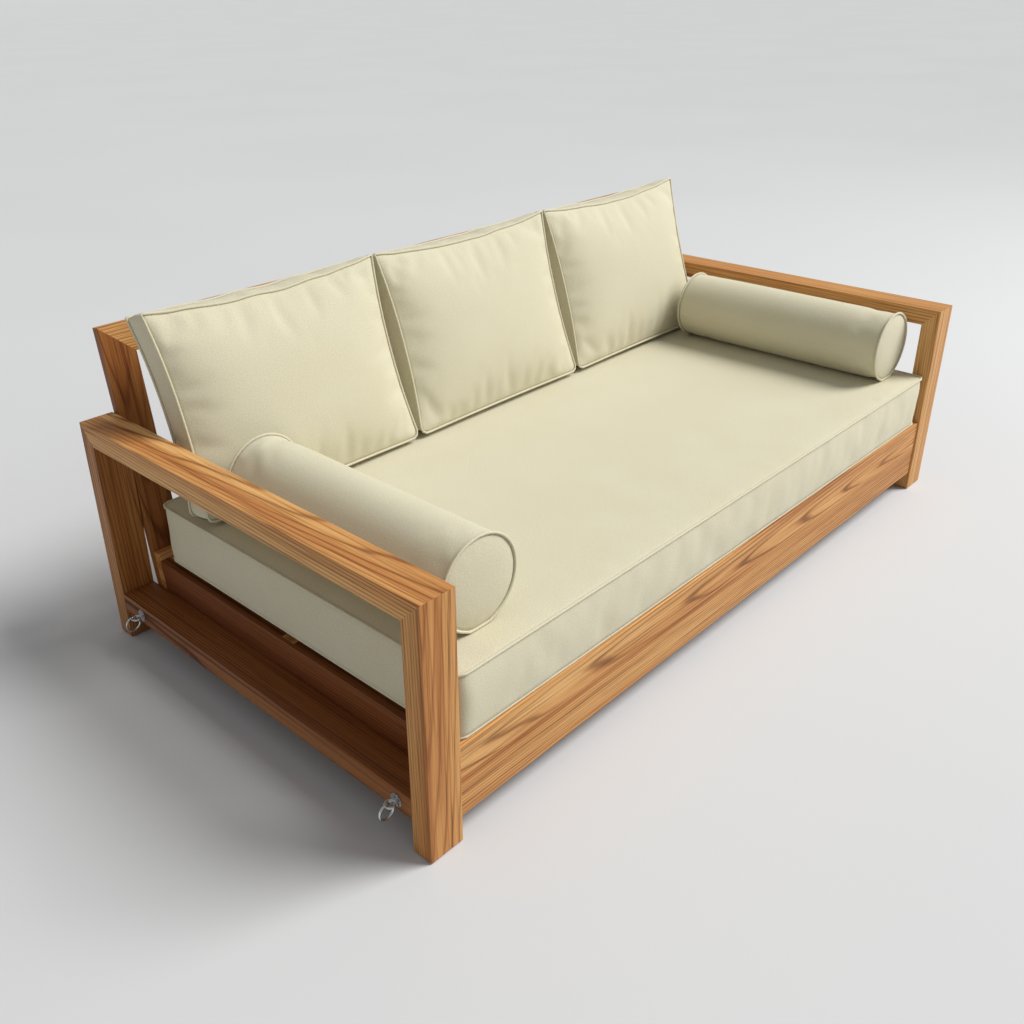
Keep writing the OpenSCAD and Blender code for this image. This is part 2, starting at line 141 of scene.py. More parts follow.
# slow wander of the rings: long along the board, short across it
slow = add_node(tree, "ShaderNodeMapping", {}, {"Vector": grain, "Scale": (0.6, 8.0, 8.0)})
wander = add_node(tree, "ShaderNodeTexNoise", {}, {"Vector": slow.outputs[0], "Scale": 1.0,
                                                   "Detail": 3.0, "Roughness": 0.55})
centred = add_node(tree, "ShaderNodeVectorMath", {"operation": "SUBTRACT"},
                   {0: wander.outputs["Color"], 1: (0.5, 0.5, 0.5)})
pushed = add_node(tree, "ShaderNodeVectorMath", {"operation": "MULTIPLY"},
                  {0: centred.outputs[0], 1: (0.0, 0.028, 0.028)})
bent = add_node(tree, "ShaderNodeVectorMath", {"operation": "ADD"}, {0: grain, 1: pushed.outputs[0]})
askew = add_node(tree, "ShaderNodeMapping", {},
                 {"Vector": bent.outputs[0], "Rotation": (0.0, math.radians(1.6), math.radians(0.6))})
rings = add_node(tree, "ShaderNodeTexWave",
                 {"wave_type": "RINGS", "rings_direction": "X", "wave_profile": "SIN"},
                 {"Vector": askew.outputs[0], "Scale": WAVES_PER_SCALE / RING_SPACING,
                  "Distortion": 0.5, "Detail": 2.0, "Detail Scale": 0.25})
ring_colour = set_stops(add_node(tree, "ShaderNodeValToRGB", {}, {0: rings.outputs["Fac"]}),
                        [(0.0, "#7A4B24"), (0.07, "#B9884E"), (0.22, "#E6BB80"), (1.0, "#F1CC93")])
# a ring line is strong in one place and faint in the next
faded = add_node(tree, "ShaderNodeMapRange", {}, {0: wander.outputs["Fac"], 1: 0.35, 2: 0.65,
                                                  3: 0.3, 4: 1.0})
ring_colour = blend_colours(tree, "MIX", faded.outputs[0], linear("#DEB275"), ring_colour)
broad = add_node(tree, "ShaderNodeMapping", {}, {"Vector": grain, "Scale": (0.7, 26.0, 26.0),
                                                 "Location": (4.0, 1.0, 2.0)})
bands = add_node(tree, "ShaderNodeTexNoise", {}, {"Vector": broad.outputs[0], "Scale": 1.0,
                                                  "Detail": 2.0})
band_colour = set_stops(add_node(tree, "ShaderNodeValToRGB", {}, {0: bands.outputs["Fac"]}),
                        [(0.32, "#CDA57C"), (0.5, "#F3E5D3"), (0.7, "#FFFFFF")])
ring_colour = blend_colours(tree, "MULTIPLY", 0.8, ring_colour, band_colour)
# fibres and pores: streaks 1 mm wide or less, tens of millimetres long
fine = add_node(tree, "ShaderNodeMapping", {}, {"Vector": grain, "Scale": (8.0, 480.0, 480.0)})
fibres = add_node(tree, "ShaderNodeTexNoise", {}, {"Vector": fine.outputs[0], "Scale": 1.0,
                                                   "Detail": 4.0, "Roughness": 0.6})
fibre_colour = set_stops(add_node(tree, "ShaderNodeValToRGB", {}, {0: fibres.outputs["Fac"]}),
                         [(0.28, "#8A6C50"), (0.42, "#E6DCCF"), (0.7, "#FFFFFF")])
streaky = add_node(tree, "ShaderNodeMapping", {}, {"Vector": grain, "Scale": (2.0, 170.0, 170.0)})
streaks = add_node(tree, "ShaderNodeTexNoise", {}, {"Vector": streaky.outputs[0], "Scale": 1.0,
                                                    "Detail": 3.0, "Roughness": 0.6})
streak_colour = set_stops(add_node(tree, "ShaderNodeValToRGB", {}, {0: streaks.outputs["Fac"]}),
                          [(0.34, "#AE8E6A"), (0.47, "#F7F0E6"), (0.70, "#FFFFFF")])
wood_colour = blend_colours(tree, "MULTIPLY", 0.7, ring_colour, fibre_colour)
wood_colour = blend_colours(tree, "MULTIPLY", 0.75, wood_colour, streak_colour)
# each board's tone: a random one of its own for most boards, and painted shade and painted light for
# the listed boards
board_tone_and_painted_shade = set_stops(add_node(tree, "ShaderNodeValToRGB", {}, {0: tone_and_painted_shade}),
                       [(0.0, "#9C7450"), (0.5, "#E9D6BF"), (1.0, "#FFF8EE")])
wood_colour = blend_colours(tree, "MULTIPLY", 1.0, wood_colour, board_tone_and_painted_shade)
tree.links.new(wood_colour, shader.inputs["Base Color"])
rough = add_node(tree, "ShaderNodeMapRange", {}, {0: fibres.outputs["Fac"], 3: 0.62, 4: 0.42})
tree.links.new(rough.outputs[0], shader.inputs["Roughness"])
pore_bump = add_node(tree, "ShaderNodeBump", {}, {"Strength": 0.22, "Distance": 0.4 * MM,
                                                  "Height": fibres.outputs["Fac"]})
ring_bump = add_node(tree, "ShaderNodeBump", {}, {"Strength": 0.12, "Distance": 0.5 * MM,
                                                  "Height": rings.outputs["Fac"],
                                                  "Normal": pore_bump.outputs[0]})
tree.links.new(ring_bump.outputs[0], shader.inputs["Normal"])
shader.inputs["IOR"].default_value = 1.5
shader.inputs["Specular IOR Level"].default_value = 0.35
print("teak nodes:", len(tree.nodes))

# %% [markdown]
# ## The wooden pieces
# A joiner breaks every long edge with a block plane, and that soft edge is what catches the
# light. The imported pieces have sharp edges, so each one is copied, its loose triangles are merged
# into whole faces, and its long edges are given a small round. Short edges round the screw holes
# stay as they are.

# %% Eased and grained boards
EASE = 1.8 * MM
LONG_EDGE = 40 * MM
PAINTED_LIGHT_AND_SHADE_BY_BOARD = {"left_arm_bottom_rail": 0.12, "right_arm_bottom_rail": 0.3, "left_side_rail": 0.0,
               "right_side_rail": 0.1, "left_arm_rear_post": 0.35, "left_arm_front_post": 0.7,
               "left_arm_top_rail": 1.0, "front_lower_board": 0.85, "front_upper_board": 0.95,
               "back_left_stile": 0.2}      # 0 is a dark board and 1 a pale one; dark is painted shade on boards in shade, pale is painted light on lit ones
SQUARE_FACE = 0.98          # a mitre's face looks halfway between two axes and stays crisp
BACK_LEAN = math.radians(8)
WOOD_STARTS = ("left_arm", "right_arm", "front_", "rear_", "left_side", "right_side", "cross_rail",
               "centre_beam", "seat_slat", "back_left", "back_right", "back_top", "back_bottom",
               "back_slat")
wood_names = [n for n in sorted(nodes) if n.startswith(WOOD_STARTS)]


def merged_copy(name, new_name):
    mesh = nodes[name].data.copy()
    mesh.name = new_name
    bm = bmesh.new()
    bm.from_mesh(mesh)
    bmesh.ops.remove_doubles(bm, verts=bm.verts, dist=0.01 * MM)
    return mesh, bm


def add_piece(mesh, body, stands_for, material):
    piece = new_object(mesh)
    give(piece, material)
    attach(piece, body)
    if stands_for:
        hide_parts(*stands_for)
    return piece


def set_grain(mesh, name):
    """Writes each point's place in the tree: along, across and through the piece."""
    luck = random.Random("plank " + name)
    turn = Matrix.Rotation(BACK_LEAN, 3, "X") if name.startswith(("back_", "rear_u", "rear_l")) \
        else Matrix.Identity(3)
    local = [turn @ v.co for v in mesh.vertices]
    low = [min(p[i] for p in local) for i in range(3)]
    high = [max(p[i] for p in local) for i in range(3)]
    size = [high[i] - low[i] for i in range(3)]
    along, across, through = sorted(range(3), key=lambda i: -size[i])
    start = luck.uniform(-3.0, 3.0)
    side = luck.choice((-1, 1)) * luck.uniform(0.0, 0.09)
    depth = luck.uniform(0.03, 0.11)
    mesh.attributes.new("grain", "FLOAT_VECTOR", "POINT")
    mesh.attributes.new("tone_and_painted_shade", "FLOAT", "POINT")
    grain_data, tone_and_painted_shade_data = mesh.attributes["grain"].data, mesh.attributes["tone_and_painted_shade"].data
    # the listed boards take painted shade where they stand in shade and painted light where they are
    # lit; the others a random tone
    shade = PAINTED_LIGHT_AND_SHADE_BY_BOARD.get(name, luck.uniform(0.55, 1.0))
    for i, p in enumerate(local):
        grain_data[i].vector = (p[along] - (low[along] + high[along]) / 2 + start,
                                p[across] - (low[across] + high[across]) / 2 + side,
                                p[through] - low[through] + depth)
        tone_and_painted_shade_data[i].value = shade


for name in wood_names:
    mesh, bm = merged_copy(name, name + "_wood")
    bmesh.ops.dissolve_limit(bm, angle_limit=math.radians(0.5), verts=bm.verts, edges=bm.edges)
    long_edges = [e for e in bm.edges if len(e.link_faces) == 2 and e.calc_length() > LONG_EDGE
                  and e.calc_face_angle(0.0) > math.radians(30)
                  and all(max(map(abs, f.normal)) > SQUARE_FACE for f in e.link_faces)]
    bmesh.ops.bevel(bm, geom=long_edges, offset=EASE, affect="EDGES", segments=2, profile=0.5,
                    material=-1, clamp_overlap=True)
    bm.to_mesh(mesh)
    bm.free()
    set_grain(mesh, name)
    add_piece(mesh, "frame", [name], teak)
print("wooden pieces:", len(wood_names))

# %% [markdown]
# ## Hardware
# The eyes and rings and the nuts on the eye bolts are polished stainless steel, bright and almost
# smooth, with faint marks from the buffing wheel. The screws are zinc plated and duller. The dowels
# are beech and the glides under the posts are black rubber. These shapes are right as they come, so
# they only need a finish. The round ones are copied and merged first, so that they shade as curves.

# %% Metals, rubber and dowel wood
def metal(name, colour, roughness, mark_scale):
    material, tree, shader = new_material(name)
    place = add_node(tree, "ShaderNodeTexCoord").outputs["Object"]
    marks = add_node(tree, "ShaderNodeTexNoise", {}, {"Vector": place, "Scale": mark_scale,
                                                      "Detail": 4.0})
    spread = add_node(tree, "ShaderNodeMapRange", {}, {0: marks.outputs["Fac"], 3: roughness * 0.7,
                                                       4: roughness * 1.4})
    tree.links.new(spread.outputs[0], shader.inputs["Roughness"])
    bump = add_node(tree, "ShaderNodeBump", {}, {"Strength": 0.06, "Distance": 0.2 * MM,
                                                 "Height": marks.outputs["Fac"]})
    tree.links.new(bump.outputs[0], shader.inputs["Normal"])
    shader.inputs["Base Color"].default_value = linear(colour)
    shader.inputs["Metallic"].default_value = 1.0
    return material


polished_steel = metal("stainless_steel_polished", "#C9CBCC", 0.16, 900.0)
zinc_steel = metal("steel_zinc_plated", "#A9ADB0", 0.34, 1400.0)


def plain(name, first, second, pattern_scale, roughness):
    material, tree, shader = new_material(name)
    place = add_node(tree, "ShaderNodeTexCoord").outputs["Object"]
    fleck = add_node(tree, "ShaderNodeTexNoise", {}, {"Vector": place, "Scale": pattern_scale,
                                                      "Detail": 3.0})
    colour = set_stops(add_node(tree, "ShaderNodeValToRGB", {}, {0: fleck.outputs["Fac"]}),
                       [(0.35, first), (0.65, second)])
    tree.links.new(colour, shader.inputs["Base Color"])
    bump = add_node(tree, "ShaderNodeBump", {}, {"Strength": 0.2, "Distance": 0.2 * MM,
                                                 "Height": fleck.outputs["Fac"]})
    tree.links.new(bump.outputs[0], shader.inputs["Normal"])
    shader.inputs["Roughness"].default_value = roughness
    return material


rubber = plain("rubber_moulded_black", "#1D1C1B", "#292826", 700.0, 0.7)
beech = plain("beech_turned_dowel", "#C9A77C", "#D9BC94", 260.0, 0.6)

for name in ("slat_screws", "back_screws", "side_rail_screws"):
    give(nodes[name], zinc_steel)
give(nodes["eye_bolt_nuts"], polished_steel)
give(nodes["foot_glides"], rubber)
give(nodes["mitre_dowels"], beech)

for name in ("eye_bolts", "ring_front_left", "ring_rear_left", "ring_front_right", "ring_rear_right"):
    mesh, bm = merged_copy(name, name + "_steel")
    for face in bm.faces:
        face.smooth = True
    for edge in bm.edges:
        edge.smooth = edge.calc_face_angle(0.0) < math.radians(35)
    bm.to_mesh(mesh)
    bm.free()
    add_piece(mesh, "frame" if name == "eye_bolts" else name, [name], polished_steel)
print("hardware finished")

# %% [markdown]
# ## Outdoor canvas
# The covers are a solution dyed acrylic canvas in pale oatmeal: a plain weave, quite matt, with a
# faint fuzz at glancing angles and slightly uneven yarns. Such threads are taken to be about half
# a millimetre, too fine to show, so the weave is drawn at three times that. It follows each
# panel's own UV map, in metres, so that it turns at every seam as cut cloth does.

# %% Canvas material
THREAD = 1.6 * MM
canvas, tree, shader = new_material("acrylic_canvas_plain_weave")
cloth_place = add_node(tree, "ShaderNodeUVMap", {"uv_map": "cloth"}).outputs[0]
across_threads = add_node(tree, "ShaderNodeTexWave",
                          {"wave_type": "BANDS", "bands_direction": "X", "wave_profile": "SIN"},
                          {"Vector": cloth_place, "Scale": WAVES_PER_SCALE / THREAD,
                           "Distortion": 0.6, "Detail": 1.0, "Detail Scale": 0.3})
along_threads = add_node(tree, "ShaderNodeTexWave",
                         {"wave_type": "BANDS", "bands_direction": "Y", "wave_profile": "SIN"},
                         {"Vector": cloth_place, "Scale": WAVES_PER_SCALE / THREAD,
                          "Distortion": 0.6, "Detail": 1.0, "Detail Scale": 0.3})
weave = add_node(tree, "ShaderNodeMath", {"operation": "MULTIPLY"},
                 {0: across_threads.outputs["Fac"], 1: along_threads.outputs["Fac"]})
yarn_place = add_node(tree, "ShaderNodeMapping", {}, {"Vector": cloth_place,
                                                      "Scale": (260.0, 420.0, 1.0)})
slubs = add_node(tree, "ShaderNodeTexNoise", {}, {"Vector": yarn_place.outputs[0], "Scale": 1.0,
                                                  "Detail": 3.0})
place = add_node(tree, "ShaderNodeTexCoord").outputs["Object"]
patches = add_node(tree, "ShaderNodeTexNoise", {}, {"Vector": place, "Scale": 7.0, "Detail": 3.0})
yarn_colour = set_stops(add_node(tree, "ShaderNodeValToRGB", {}, {0: slubs.outputs["Fac"]}),
                        [(0.3, "#D0CAB0"), (0.7, "#E3DEC8")])
patch_colour = set_stops(add_node(tree, "ShaderNodeValToRGB", {}, {0: patches.outputs["Fac"]}),
                         [(0.3, "#FCFBF8"), (0.7, "#FFFFFF")])
# the weave is coloured darker in the gaps between threads: painted shade
gap_painted_shade = set_stops(add_node(tree, "ShaderNodeValToRGB", {}, {0: weave.outputs[0]}),
                       [(0.0, "#E0DCCC"), (0.5, "#FFFFFF")])
cloth_colour = blend_colours(tree, "MULTIPLY", 1.0, yarn_colour, patch_colour)
cloth_colour = blend_colours(tree, "MULTIPLY", 0.6, cloth_colour, gap_painted_shade)
tree.links.new(cloth_colour, shader.inputs["Base Color"])
creases = add_node(tree, "ShaderNodeTexNoise", {}, {"Vector": place, "Scale": 16.0, "Detail": 2.0})
soft_bump = add_node(tree, "ShaderNodeBump", {}, {"Strength": 0.06, "Distance": 4 * MM,
                                                  "Height": creases.outputs["Fac"]})
weave_bump = add_node(tree, "ShaderNodeBump", {}, {"Strength": 0.35, "Distance": 0.5 * MM,
                                                   "Height": weave.outputs[0],
                                                   "Normal": soft_bump.outputs[0]})
tree.links.new(weave_bump.outputs[0], shader.inputs["Normal"])
shader.inputs["Roughness"].default_value = 0.92
shader.inputs["Sheen Weight"].default_value = 0.15
shader.inputs["Sheen Roughness"].default_value = 0.5
shader.inputs["Specular IOR Level"].default_value = 0.3
print("canvas nodes:", len(tree.nodes))

# %% [markdown]
# ## Boxed pads
# The mattress and the back cushions are boxed: a front panel and a rear panel joined by a strip
# all round, with a thin piping cord in both seams. A pad is built flat in its own space, lying in
# x and y with z as its thickness. It starts as a grid for one panel, the strip is extruded from
# its rim in rows, and a second grid closes it. Then a cloth simulation presses air into it while
# its seams are held, so that the panels, which are cut a little full, pucker along the piping.

# %% Pad builder
PIPING_R = 3.2 * MM
INSET = 4.7 * MM            # the piping and the swell of the sides need this much room outside a panel
CLOTH_STEPS = 20
ON_EDGE = 0.001 * MM


def set_cloth_uv(bm):
    """Lays each face on the plane it faces most, in metres."""
    uv = bm.loops.layers.uv.get("cloth") or bm.loops.layers.uv.new("cloth")
    for face in bm.faces:
        facing = [abs(c) for c in face.normal]
        keep = [i for i in range(3) if i != facing.index(max(facing))]
        for loop in face.loops:
            loop[uv].uv = (loop.vert.co[keep[0]], loop.vert.co[keep[1]])


def rim_in_order(edges):
    """The vertex numbers of a closed rim, in order round it."""
    pool = set(edges)
    here, order = edges[0].verts[0], []
    while pool:
        order.append(here.index)
        step = next((e for e in here.link_edges if e in pool), None)
        if step is None:
            break
        pool.remove(step)
        here = step.other_vert(here)
    return order[:-1] if order[0] == order[-1] else order


def build_pad(width, height, thick, cell, rows):
    bm = bmesh.new()
    columns, lines = round(width / cell), round(height / cell)

    def panel(z):
        bmesh.ops.create_grid(bm, x_segments=columns, y_segments=lines, size=0.5,
                              matrix=Matrix.Translation((0, 0, z))
                              @ Matrix.Diagonal((width, height, 1, 1)))

    panel(thick / 2)
    rim = [e for e in bm.edges if e.is_boundary]
    for _ in range(rows):
        grown = bmesh.ops.extrude_edge_only(bm, edges=rim)["geom"]
        new_verts = {g for g in grown if isinstance(g, bmesh.types.BMVert)}
        bmesh.ops.translate(bm, vec=(0, 0, -thick / rows), verts=list(new_verts))
        rim = [g for g in grown if isinstance(g, bmesh.types.BMEdge)
               and g.verts[0] in new_verts and g.verts[1] in new_verts]
    panel(-thick / 2)
    bmesh.ops.remove_doubles(bm, verts=bm.verts, dist=0.1 * MM)
    bmesh.ops.recalc_face_normals(bm, faces=bm.faces)
    bm.normal_update()
    set_cloth_uv(bm)
    crease = bm.edges.layers.float.new("crease_edge")
    bm.verts.index_update()
    seams = []
    for sign in (1, -1):
        seam = [e for e in bm.edges if len(e.link_faces) == 2
                and sorted(round(f.normal.z * sign) for f in e.link_faces) == [0, 1]]
        for edge in seam:
            edge[crease] = 1.0
        seams.append(rim_in_order(seam))
    return bm, seams


def blow_up(piece, held, pressure, fullness, most):
    """Runs the cloth, then moves each point towards where it went, always by less than most.

    Returns how far the cloth itself had gone, in metres, before that limit.
    """
    group = piece.vertex_groups.new(name="seams")
    group.add(held, 1.0, "REPLACE")
    cloth = piece.modifiers.new("cloth", "CLOTH")
    settings = cloth.settings
    settings.quality = 5
    settings.mass = 0.3
    settings.tension_stiffness = settings.compression_stiffness = 15
    settings.shear_stiffness = 5
    settings.bending_stiffness = 0.6
    settings.use_pressure = True
    settings.uniform_pressure_force = pressure
    settings.shrink_min = -fullness
    settings.vertex_group_mass = "seams"
    settings.effector_weights.gravity = 0
    cloth.collision_settings.use_collision = False
    for step in range(1, CLOTH_STEPS + 1):
        scene.frame_set(step)
    blown = piece.evaluated_get(bpy.context.evaluated_depsgraph_get()).data
    moves = [b.co - v.co for b, v in zip(blown.vertices, piece.data.vertices)]
    piece.modifiers.remove(cloth)
    scene.frame_set(1)
    farthest = max(m.length for m in moves)
    for vert, move in zip(piece.data.vertices, moves):
        vert.co += move * most / (most + move.length)
    piece.vertex_groups.remove(group)
    return farthest


def add_piping(name, points, outward, body):
    """A closed cord along the points of a seam, moved outward by its own amount at each."""
    curve = bpy.data.curves.new(name, "CURVE")
    curve.dimensions = "3D"
    spline = curve.splines.new("POLY")
    spline.points.add(len(points) - 1)
    spline.use_cyclic_u = True
    for cord_point, point, out in zip(spline.points, points, outward):
        cord_point.co = (*(point + out), 1.0)
    curve.bevel_depth = PIPING_R
    curve.bevel_resolution = 2
    maker = new_object(curve)
    bpy.context.view_layer.update()
    mesh = bpy.data.meshes.new_from_object(maker.evaluated_get(
        bpy.context.evaluated_depsgraph_get()))
    bpy.data.objects.remove(maker)
    mesh.name = name
    bm = bmesh.new()
    bm.from_mesh(mesh)
    bmesh.ops.remove_doubles(bm, verts=bm.verts, dist=0.05 * MM)
    bmesh.ops.recalc_face_normals(bm, faces=bm.faces)
    set_cloth_uv(bm)
    for face in bm.faces:
        face.smooth = True
    bm.to_mesh(mesh)
    bm.free()
    return add_piece(mesh, body, [], canvas)


def dress_cover(piece, name):
    """Hands a finished cover to its body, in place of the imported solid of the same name."""
    give(piece, canvas)
    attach(piece, name)
    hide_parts(name)
    smooth = piece.modifiers.new("smooth", "SUBSURF")
    smooth.levels = smooth.render_levels = 1
    for polygon in piece.data.polygons:
        polygon.use_smooth = True


print("pad builder ready")

# %% [markdown]
# ## Back cushions
# Three equal cushions stand in a row and lean back. Their upper corners stay out as points and
# the lower ones are rounded, while the sides and the top edge pull in between them and the front
# and rear panels crown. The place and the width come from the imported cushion's box. Its lean, its
# thickness, its height and the small rise of its rear lower seam are given here, because the box
# doesn't tell them.

# %% Three back cushions
CUSHION_LEAN = math.radians(18)
CUSHION_T, FOOT_RISE = 70 * MM, 12 * MM
CUSHION_H = 490 * MM
FRONT_CROWN, REAR_CROWN = 42 * MM, 70 * MM
LOWER_CORNER_R = 22 * MM
SIDE_PULL, TOP_PULL, FOOT_SAG = 19 * MM, 15 * MM, 3 * MM
FRONT_PULLS_MORE = 8 * MM       # the front seam's top edge is pulled in this much more than the middle
TOP_WAVER = 4 * MM
STRIP_SWELL = 3.5 * MM
SEAM_STAND = 2.2 * MM           # the piping's centre stands this far off the seam


def crown(u, v):
    """0 at a panel's edge and 1 in its middle, for u and v from -1 to 1."""
    return (max(0.0, 1 - abs(u) ** 2.2) * max(0.0, 1 - abs(v) ** 2.2)) ** 0.56


def rounded(co, half_w, half_h, radius):
    """Moves the points near a square corner on to a round one."""
    inner_x, inner_y = half_w - radius, half_h - radius
    dx, dy = (abs(co.x) - inner_x) / radius, (abs(co.y) - inner_y) / radius
    if dx <= 0 or dy <= 0:
        return co.copy()
    sx, sy = dx * math.sqrt(1 - dy * dy / 2), dy * math.sqrt(1 - dx * dx / 2)
    return Vector((math.copysign(inner_x + sx * radius, co.x),
                   math.copysign(inner_y + sy * radius, co.y), co.z))


def cushion_point(co, half_w, half_h, luck):
    u, v, t = co.x / half_w, co.y / half_h, co.z / (CUSHION_T / 2)
    if v < 0:
        co = rounded(co, half_w, half_h, LOWER_CORNER_R)
    pull_side = SIDE_PULL * (1 - abs(v) ** 2.2)
    pull_top = (TOP_PULL + FRONT_PULLS_MORE * t) * (1 - abs(u) ** 2.2)
    pull_top += TOP_WAVER * noise.noise(Vector((u * 4.0, luck, 0.0))) * (1 - abs(u) ** 6)
    x = co.x - math.copysign(pull_side, u) * abs(u) ** 1.5
    y = co.y - pull_top * max(0.0, v) ** 2 + FOOT_SAG * (1 - u * u) * max(0.0, -v) ** 2
    foot = max(0.0, -v) ** 3 * (1 - t) / 2
    y += FOOT_RISE * foot
    z = co.z
    if abs(t) > 0.999:
        z += (FRONT_CROWN if t > 0 else -REAR_CROWN) * crown(u, v)
    else:
        swell = STRIP_SWELL * (1 - t * t)
        x += math.copysign(swell, u) if abs(u) > 0.999 else 0.0
        y += math.copysign(swell, v) if abs(v) > 0.999 and v > 0 else 0.0
    return Vector((x, y, z))


def make_cushion(name, luck):
    low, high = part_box(name)
    width = high.x - low.x - 2 * INSET
    height = CUSHION_H - 2 * INSET
    bm, seams = build_pad(width, height, CUSHION_T, 15 * MM, 4)
    for vert in bm.verts:
        vert.co = cushion_point(vert.co, width / 2, height / 2, luck)
    piece = mesh_object(bm, name + "_cover")
    mesh = piece.data
    went = blow_up(piece, seams[0] + seams[1], pressure=2.5, fullness=0.02, most=22 * MM)
    print(name, "cloth went up to", round(went / MM, 1), "mm before the limit")
    up = Vector((0, math.sin(CUSHION_LEAN), math.cos(CUSHION_LEAN)))
    front = Vector((0, -math.cos(CUSHION_LEAN), math.sin(CUSHION_LEAN)))
    corner = Vector(((low.x + high.x) / 2, low.y,
                     low.z + CUSHION_T * math.sin(CUSHION_LEAN)
                     - FOOT_RISE * math.cos(CUSHION_LEAN)))
    centre = corner + up * CUSHION_H / 2 - front * CUSHION_T / 2
    place = Matrix.Translation(centre) @ Matrix((Vector((1, 0, 0)), up, front)).transposed().to_4x4()
    for which, seam in enumerate(seams):
        points = [mesh.vertices[i].co.copy() for i in seam]
        outward = []
        for p in points:
            flat = Vector((p.x / (width / 2), p.y / (height / 2), 0))
            flat = Vector((math.copysign(abs(flat.x) ** 8, flat.x),
                           math.copysign(abs(flat.y) ** 8, flat.y), 0)).normalized()
            flat.z = 0.6 if which == 0 else -0.6
            outward.append(flat.normalized() * SEAM_STAND)
        world_points = [place @ p for p in points]
        world_out = [place.to_3x3() @ o for o in outward]
        add_piping(f"{name}_piping_{'front' if which == 0 else 'rear'}", world_points, world_out, name)
    mesh.transform(place)
    dress_cover(piece, name)


for luck, side in enumerate(("left", "middle", "right")):
    make_cushion("back_cushion_" + side, 3.7 * luck)
print("three cushions")

# %% [markdown]
# ## Mattress
# The mattress is a firm foam slab, so its panels stay nearly flat and only its border works: it
# swells a little between the two seams and ripples where the strip is held by the piping. Its
# corners are rounded in plan. Its underside is flat on the slats and its top stays level, because
# the cushions and bolsters rest there.

# %% The mattress
CORNER_R = 20 * MM
RIM_ROLL = 22 * MM              # how far in from a seam the panel reaches its full height
TOP_DIPS, DIPS_FADE = 2.2 * MM, 60 * MM
BORDER_SWELL, BORDER_RIPPLE = 3.2 * MM, 3.4 * MM
BOTTOM_TUCK = 1.5 * MM          # the bottom piping sits this far inside its seam


def make_mattress():
    low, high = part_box("mattress")
    size = high - low
    width, depth = size.x - 2 * INSET, size.y - 2 * INSET
    seam_drop = PIPING_R
    thick = size.z - 2 * seam_drop
    bm, seams = build_pad(width, depth, thick, 20 * MM, 6)
    for vert in bm.verts:
        flat = vert.co.copy()
        t = flat.z / (thick / 2)
        co = rounded(flat, width / 2, depth / 2, CORNER_R)
        edge_x, edge_y = width / 2 - abs(flat.x), depth / 2 - abs(flat.y)
        inside = min(edge_x, edge_y)
        if abs(t) > 0.999:
            rise = seam_drop * (1 - math.exp(-inside / RIM_ROLL))
            if t > 0:
                dips = noise.noise(Vector((flat.x * 5.5, flat.y * 5.5, 1.0)))
                rise += (dips - 0.6) * TOP_DIPS * min(1.0, inside / DIPS_FADE)
            co.z += math.copysign(max(rise, 0.0), t)
        else:
            run = flat.x if edge_y < ON_EDGE else flat.y
            ripple = noise.noise(Vector((run * 13.0, 4.0, t * 0.6)))
            ripple += 0.5 * noise.noise(Vector((run * 31.0, 9.0, t)))
            swell = (BORDER_SWELL + BORDER_RIPPLE * ripple) * (1 - t * t)
            out = Vector((math.copysign(1, flat.x) if edge_x < ON_EDGE else 0,
                          math.copysign(1, flat.y) if edge_y < ON_EDGE else 0, 0)).normalized()
            co += out * swell
        vert.co = co
    piece = mesh_object(bm, "mattress_cover")
    mesh = piece.data
    went = blow_up(piece, seams[0] + seams[1], pressure=0.6, fullness=0.012, most=3.5 * MM)
    print("mattress cloth went up to", round(went / MM, 1), "mm before the limit")
    for vert in mesh.vertices:
        vert.co.z = max(-size.z / 2, min(size.z / 2, vert.co.z))
    centre = (low + high) / 2
    mesh.transform(Matrix.Translation(centre))
    for which, seam in enumerate(seams):
        points = [mesh.vertices[i].co.copy() for i in seam]
        outward = []
        for i, p in enumerate(points):
            along = points[(i + 1) % len(points)] - points[i - 1]
            side = Vector((along.y, -along.x, 0)).normalized()
            if side.dot(p - centre) < 0:
                side = -side
            outward.append(side * ((INSET - PIPING_R) if which == 0 else -BOTTOM_TUCK))
        add_piping(f"mattress_piping_{'top' if which == 0 else 'bottom'}", points, outward, "mattress")
    dress_cover(piece, "mattress")


make_mattress()
print("mattress finished")

# %% [markdown]
# ## Bolsters
# A bolster is a stuffed tube with a flat disc sewn into each end, piped at the rim. One profile is
# spun round the tube's axis: out over the front disc, along the barrel and in over the rear disc.
# The barrel is gathered a little at each rim, and the underside is flattened where it lies on the
# mattress.

# %% Two bolsters
SPIN_STEPS, DISC_RINGS, BARREL_ROW = 44, 6, 16 * MM
END_DOME, DISC_GATHER = 7 * MM, 0.8 * MM
BARREL_GATHER, RIM_WAIST, BARREL_WAVER = 1.6 * MM, 2.0 * MM, 1.0 * MM
RIM_STAND = 2.4 * MM            # the piping's centre stands this far off the rim
FLATTENED = 12 * MM             # the lowest part of the barrel, which is pressed on the mattress


